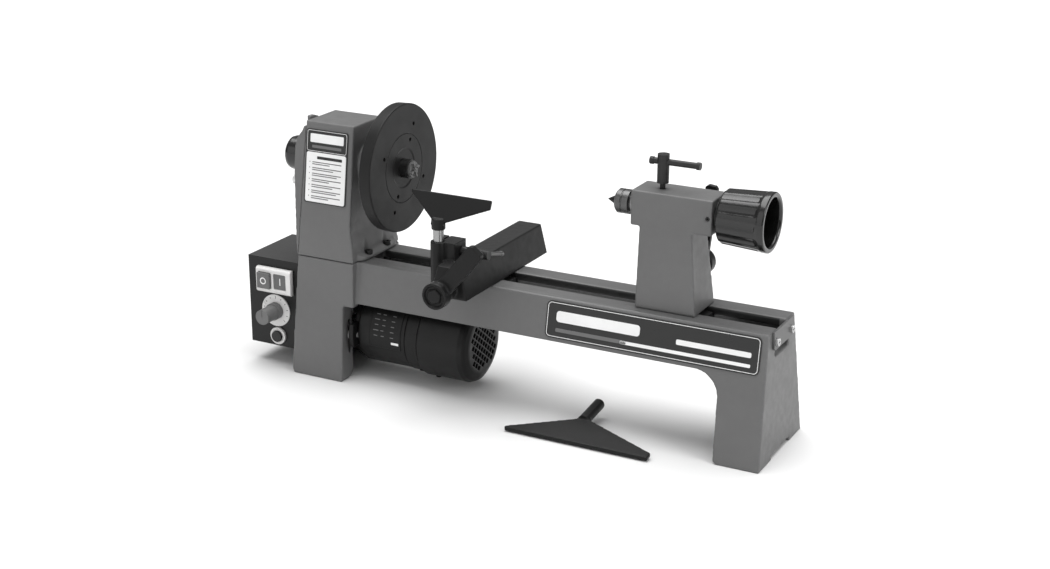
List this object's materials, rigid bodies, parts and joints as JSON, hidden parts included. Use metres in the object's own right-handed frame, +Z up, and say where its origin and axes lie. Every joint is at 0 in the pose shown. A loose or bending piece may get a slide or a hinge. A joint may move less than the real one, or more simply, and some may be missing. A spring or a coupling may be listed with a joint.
{
  "type": "wood lathe",
  "caption": "Bench-top variable-speed wood lathe with faceplate, adjustable tool rest, tailstock with revolving centre, and a motor slung under the bed.",
  "frame": {"origin": "on the bench, at the centre of the four bench bolt holes, under the middle of the bed", "axes": "+X along the bed from the headstock to the tailstock, +Y from the operator to the back, +Z up"},
  "size_m": [0.6631, 0.2275, 0.3292],
  "materials": {
    "casting_grey": "satin hammered grey enamel",
    "dark_casting": "satin near-black enamel",
    "box_black": "fine-textured black powder coat",
    "bright_steel": "turned and ground",
    "black_steel": "black oxide",
    "faceplate_grey": "dark satin, faced",
    "black_plastic": "moulded, lightly polished",
    "motor_black": "satin black",
    "pale_plastic": "moulded",
    "knob_grey": "moulded",
    "button_grey": "moulded",
    "label_dark": "printed film",
    "label_pale": "printed film",
    "rubber_black": "matt",
    "circuit_green": "solder mask",
    "winding_copper": "varnished winding and laminations"
  },
  "bodies": {
    "bed": {"bed_casting": "casting_grey", "bed_end_plate": "black_steel", "cover_screws": "bright_steel", "rubber_feet": "rubber_black", "bed_label": "label_dark", "headstock_casting": "casting_grey", "headstock_bolts": "black_steel", "headstock_label": "label_pale", "belt_cover": "casting_grey", "control_box": "box_black", "switch_bezel": "pale_plastic", "speed_dial": "pale_plastic", "reset_collar": "pale_plastic", "speed_circuit_board": "circuit_green", "spindle_bearings": "bright_steel", "drive_belt": "rubber_black"},
    "stop_button": {"stop_button": "button_grey"},
    "start_button": {"start_button": "button_grey"},
    "reset_button": {"reset_button": "black_plastic"},
    "speed_knob": {"speed_knob": "knob_grey"},
    "spindle": {"spindle_shaft": "bright_steel", "spindle_pulley": "bright_steel", "spindle_handwheel": "black_plastic", "faceplate": "faceplate_grey", "drive_centre": "bright_steel"},
    "motor": {"motor_case": "motor_black", "motor_mid_ring": "motor_black", "motor_fan_cover": "motor_black", "motor_end_bracket": "motor_black", "motor_bolts": "bright_steel", "motor_bearings": "bright_steel", "motor_label": "label_dark"},
    "motor_rotor": {"motor_rotor": "winding_copper", "motor_shaft": "bright_steel", "motor_fan": "black_plastic", "motor_pulley": "bright_steel"},
    "banjo_shoe": {"banjo_clamp_plate": "black_steel"},
    "banjo_swivel": {"banjo_eye_bolt": "black_steel"},
    "banjo": {"banjo_casting": "dark_casting"},
    "banjo_handle": {"banjo_cam_shaft": "bright_steel", "banjo_lever": "dark_casting"},
    "tool_post": {"tool_rest_post": "bright_steel"},
    "tool_rest": {"tool_rest": "dark_casting"},
    "post_lock": {"post_lock_screw": "black_steel"},
    "post_lock_bar": {"post_lock_bar": "bright_steel"},
    "spare_rest": {"spare_tool_rest": "dark_casting"},
    "tailstock": {"tailstock_casting": "casting_grey", "leadscrew_bush": "black_steel", "quill_key_screw": "black_steel"},
    "tail_shoe": {"tailstock_eye_bolt": "black_steel", "tailstock_clamp_plate": "black_steel"},
    "tail_handle": {"tailstock_cam_shaft": "bright_steel", "tailstock_lever": "dark_casting"},
    "quill": {"tailstock_quill": "bright_steel", "live_centre_body": "bright_steel"},
    "live_centre": {"live_centre_tip": "bright_steel"},
    "tail_wheel": {"tailstock_leadscrew": "bright_steel", "tailstock_handwheel": "black_plastic"},
    "quill_lock": {"quill_lock_screw": "black_steel"},
    "quill_lock_bar": {"quill_lock_bar": "black_steel"}
  },
  "joints": [
    {"name": "spindle_spin", "type": "hinge", "parent": "bed", "child": "spindle", "pos_m": [-0.2505, 0, 0.2542], "axis": [1, 0, 0], "continuous": true},
    {"name": "motor_tension", "type": "slide", "parent": "bed", "child": "motor", "axis": [0, 0, 1], "range_m": [-0.002, 0.008], "deforming": ["drive_belt"]},
    {"name": "motor_spin", "type": "hinge", "parent": "motor", "child": "motor_rotor", "pos_m": [-0.1905, 0, 0.0565], "axis": [1, 0, 0], "continuous": true},
    {"name": "stop_press", "type": "slide", "parent": "bed", "child": "stop_button", "axis": [0, 1, 0], "range_m": [0, 0.003]},
    {"name": "start_press", "type": "slide", "parent": "bed", "child": "start_button", "axis": [0, 1, 0], "range_m": [0, 0.003]},
    {"name": "reset_press", "type": "slide", "parent": "bed", "child": "reset_button", "axis": [0, 1, 0], "range_m": [0, 0.002]},
    {"name": "speed_turn", "type": "hinge", "parent": "bed", "child": "speed_knob", "pos_m": [-0.3285, -0.06, 0.068], "axis": [0, -1, 0], "range_deg": [-270, 0]},
    {"name": "banjo_travel", "type": "slide", "parent": "bed", "child": "banjo_shoe", "axis": [1, 0, 0], "range_m": [-0.04, 0.11]},
    {"name": "banjo_turn", "type": "hinge", "parent": "banjo_shoe", "child": "banjo_swivel", "pos_m": [-0.0588, 0, 0.13], "axis": [0, 0, -1], "range_deg": [-30, 30]},
    {"name": "banjo_reach", "type": "slide", "parent": "banjo_swivel", "child": "banjo", "axis": [0, 1, 0], "range_m": [-0.03, 0.035]},
    {"name": "banjo_clamp", "type": "hinge", "parent": "banjo", "child": "banjo_handle", "pos_m": [-0.0588, 0, 0.157], "axis": [0, 1, 0], "range_deg": [-30, 30]},
    {"name": "post_height", "type": "slide", "parent": "banjo", "child": "tool_post", "axis": [0, 0, 1], "range_m": [-0.006, 0.022]},
    {"name": "rest_turn", "type": "hinge", "parent": "tool_post", "child": "tool_rest", "pos_m": [-0.083, -0.078, 0.22], "axis": [0, 0, 1], "range_deg": [-40, 40]},
    {"name": "post_lock_turn", "type": "hinge", "parent": "banjo", "child": "post_lock", "pos_m": [-0.0605, -0.062, 0.189], "axis": [1, 0, 0], "range_deg": [-20, 60]},
    {"name": "post_lock_bar_slide", "type": "slide", "parent": "post_lock", "child": "post_lock_bar", "axis": [0, 0.9659, -0.2588], "range_m": [-0.03, 0.006]},
    {"name": "spare_rest_place", "type": "slide", "parent": "bed", "child": "spare_rest", "axis": [0, -1, 0], "range_m": [0, 0.05]},
    {"name": "tailstock_travel", "type": "slide", "parent": "bed", "child": "tailstock", "axis": [1, 0, 0], "range_m": [-0.15, 0.06]},
    {"name": "tail_clamp_lift", "type": "slide", "parent": "tailstock", "child": "tail_shoe", "axis": [0, 0, 1], "range_m": [-0.00026, 0.00026]},
    {"name": "tail_clamp", "type": "hinge", "parent": "tailstock", "child": "tail_handle", "pos_m": [0.1785, 0, 0.183], "axis": [0, 1, 0], "range_deg": [-30, 30]},
    {"name": "quill_feed", "type": "slide", "parent": "tailstock", "child": "quill", "axis": [-1, 0, 0], "range_m": [0, 0.045]},
    {"name": "tail_wheel_turn", "type": "hinge", "parent": "tailstock", "child": "tail_wheel", "pos_m": [0.2495, 0, 0.2542], "axis": [-1, 0, 0], "range_deg": [0, 6490]},
    {"name": "live_centre_spin", "type": "hinge", "parent": "quill", "child": "live_centre", "pos_m": [0.0995, 0, 0.2542], "axis": [1, 0, 0], "continuous": true},
    {"name": "quill_lock_turn", "type": "hinge", "parent": "tailstock", "child": "quill_lock", "pos_m": [0.149, 0, 0.29], "axis": [0, 0, 1], "range_deg": [-120, 120]},
    {"name": "quill_lock_bar_slide", "type": "slide", "parent": "quill_lock", "child": "quill_lock_bar", "axis": [1, 0, 0], "range_m": [-0.03, 0.004]}
  ],
  "couplings": [
    {"joint": "motor_spin", "follows": "spindle_spin", "ratio": 1.5},
    {"joint": "tail_wheel_turn", "follows": "quill_feed", "rad_per_m": 2513.3},
    {"joint": "tail_clamp", "follows": "tail_clamp_lift", "rad_per_m": -2000}
  ]
}
